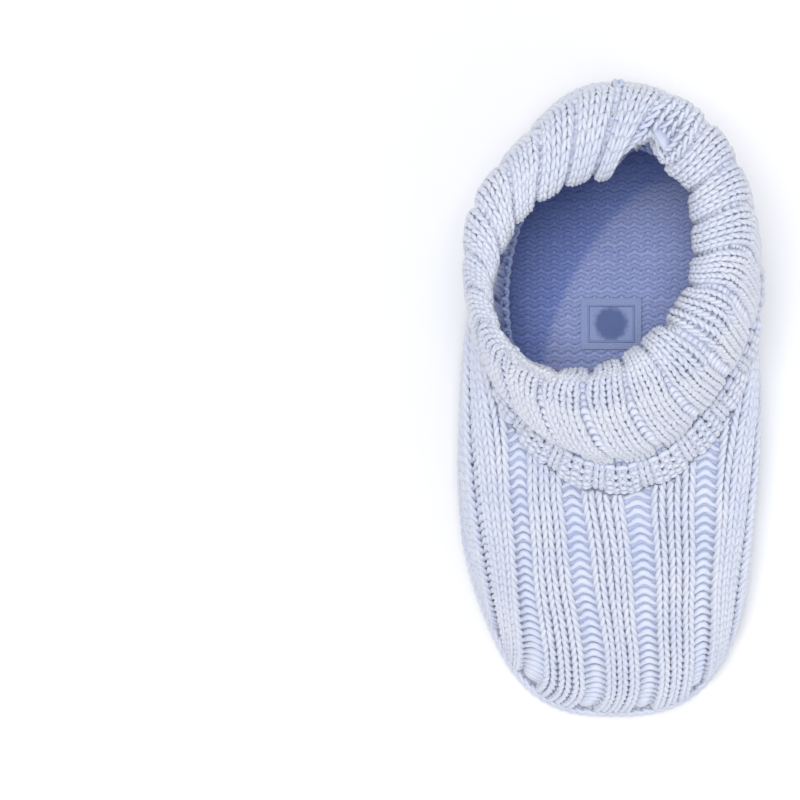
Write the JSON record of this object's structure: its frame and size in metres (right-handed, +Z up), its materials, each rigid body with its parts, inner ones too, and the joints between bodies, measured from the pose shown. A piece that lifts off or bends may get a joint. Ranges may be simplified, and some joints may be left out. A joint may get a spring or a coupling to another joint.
{
  "type": "baby bootie",
  "caption": "Pale blue knitted baby bootie with a ribbed foot, a purl band at the ankle and a doubled elastic rib cuff.",
  "frame": {"origin": "on the ground under the middle of the sole", "axes": "+Z up through the cuff, -Y towards the toe, +Y towards the heel, X across the foot"},
  "size_m": [0.0502, 0.1018, 0.0623],
  "materials": {
    "pale_blue_yarn": "matte",
    "seam_thread": "matte",
    "covered_elastic": "matte",
    "woven_label": "satin"
  },
  "bodies": {
    "foot": {"foot_knit": "pale_blue_yarn", "sole_knit": "pale_blue_yarn", "sole_seam": "seam_thread", "heel_seam": "seam_thread", "ankle_band": "pale_blue_yarn", "size_label": "woven_label", "label_stitching": "seam_thread"},
    "cuff": {"cuff_outer": "pale_blue_yarn", "cuff_rim": "pale_blue_yarn", "cuff_inner": "pale_blue_yarn", "cuff_seam": "seam_thread", "hem_seam": "seam_thread", "elastic_thread_1": "covered_elastic", "elastic_thread_2": "covered_elastic", "elastic_thread_3": "covered_elastic"}
  },
  "joints": [
    {"name": "cuff_tilt", "type": "hinge", "parent": "foot", "child": "cuff", "pos_m": [-0.001, 0.0155, 0.0335], "axis": [1, 0, 0], "range_deg": [-8, 8], "stiffness_Nm_per_rad": 0.08, "deforming": ["ankle_band"]}
  ]
}
